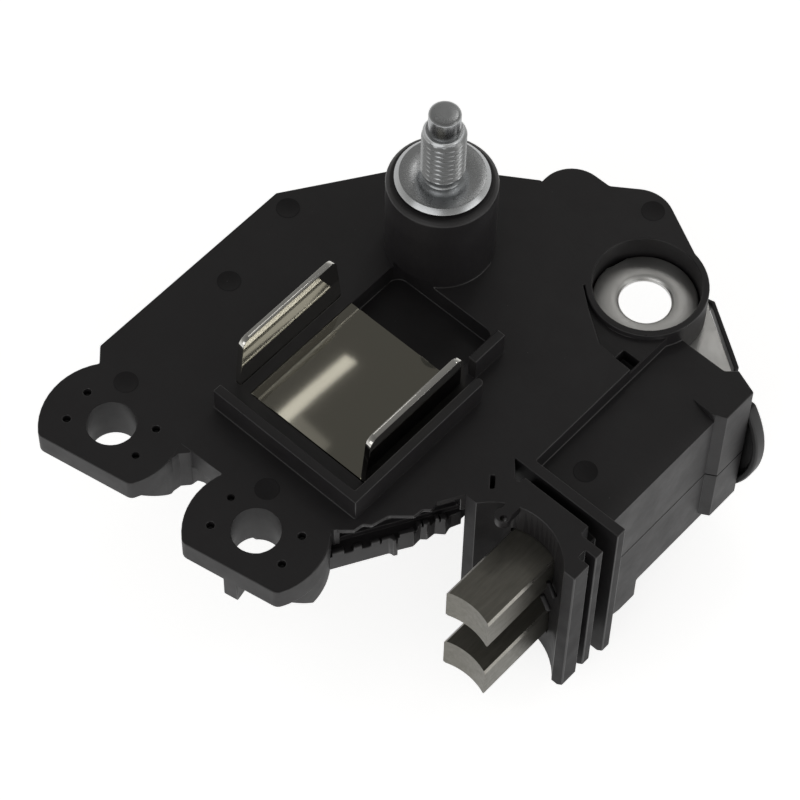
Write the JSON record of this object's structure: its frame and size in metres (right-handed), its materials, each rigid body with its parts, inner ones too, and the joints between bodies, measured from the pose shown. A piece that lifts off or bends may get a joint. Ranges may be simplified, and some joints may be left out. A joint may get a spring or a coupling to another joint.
{
  "type": "alternator voltage regulator",
  "caption": "Flat black carrier with a brush holder, sprung carbon brushes, a finned heat sink, a stud terminal and screw ears.",
  "frame": {"origin": "centre of the left ear's bore at the carrier plate's top face", "axes": "+X from the left ear towards the right ear and the brush holder, +Y from the ears towards the eyelet terminal, against the way the brushes point, +Z out of the plate along the stud"},
  "size_m": [0.0582, 0.0704, 0.0525],
  "materials": {
    "black_plastic": "glass-filled black moulding, fine satin grain",
    "cover_plastic": "black moulding",
    "sink_metal": "bright rolled sheet",
    "spreader_metal": "bright plated block, warm grey",
    "ceramic": "white ceramic",
    "silicon": "bare die",
    "component_body": "small ceramic component",
    "gel": "soft clear silicone",
    "stud_steel": "zinc-plated steel",
    "tinned_metal": "dull tin plating on copper alloy",
    "bare_brass": "bare copper alloy strip",
    "carbon": "copper-graphite, dull metallic grey",
    "spring_steel": "drawn spring wire",
    "copper_braid": "fine copper braid"
  },
  "bodies": {
    "housing": {"carrier": "black_plastic", "heat_sink": "sink_metal", "heat_spreader": "spreader_metal", "ceramic_substrate": "ceramic", "regulator_chip": "silicon", "filter_capacitor": "component_body", "sense_resistor": "component_body", "potting_gel": "gel", "underside_cover": "cover_plastic", "stud_bolt": "stud_steel", "terminal_eyelet": "tinned_metal", "positive_bar": "bare_brass", "ground_bar": "tinned_metal", "field_bar": "bare_brass", "brush_spring_upper": "spring_steel", "brush_spring_lower": "spring_steel", "brush_lead_upper": "copper_braid", "brush_lead_lower": "copper_braid", "brush_terminal_upper": "bare_brass", "brush_terminal_lower": "bare_brass", "rear_cap": "cover_plastic"},
    "upper_brush": {"brush_upper": "carbon"},
    "lower_brush": {"brush_lower": "carbon"}
  },
  "joints": [
    {"name": "brush_upper_slide", "type": "slide", "parent": "housing", "child": "upper_brush", "axis": [0, 1, 0], "range_m": [0, 0.008], "stiffness_N_per_m": 120, "springref_m": -0.012, "deforming": ["brush_spring_upper", "brush_lead_upper"]},
    {"name": "brush_lower_slide", "type": "slide", "parent": "housing", "child": "lower_brush", "axis": [0, 1, 0], "range_m": [0, 0.008], "stiffness_N_per_m": 120, "springref_m": -0.012, "deforming": ["brush_spring_lower", "brush_lead_lower"]}
  ]
}
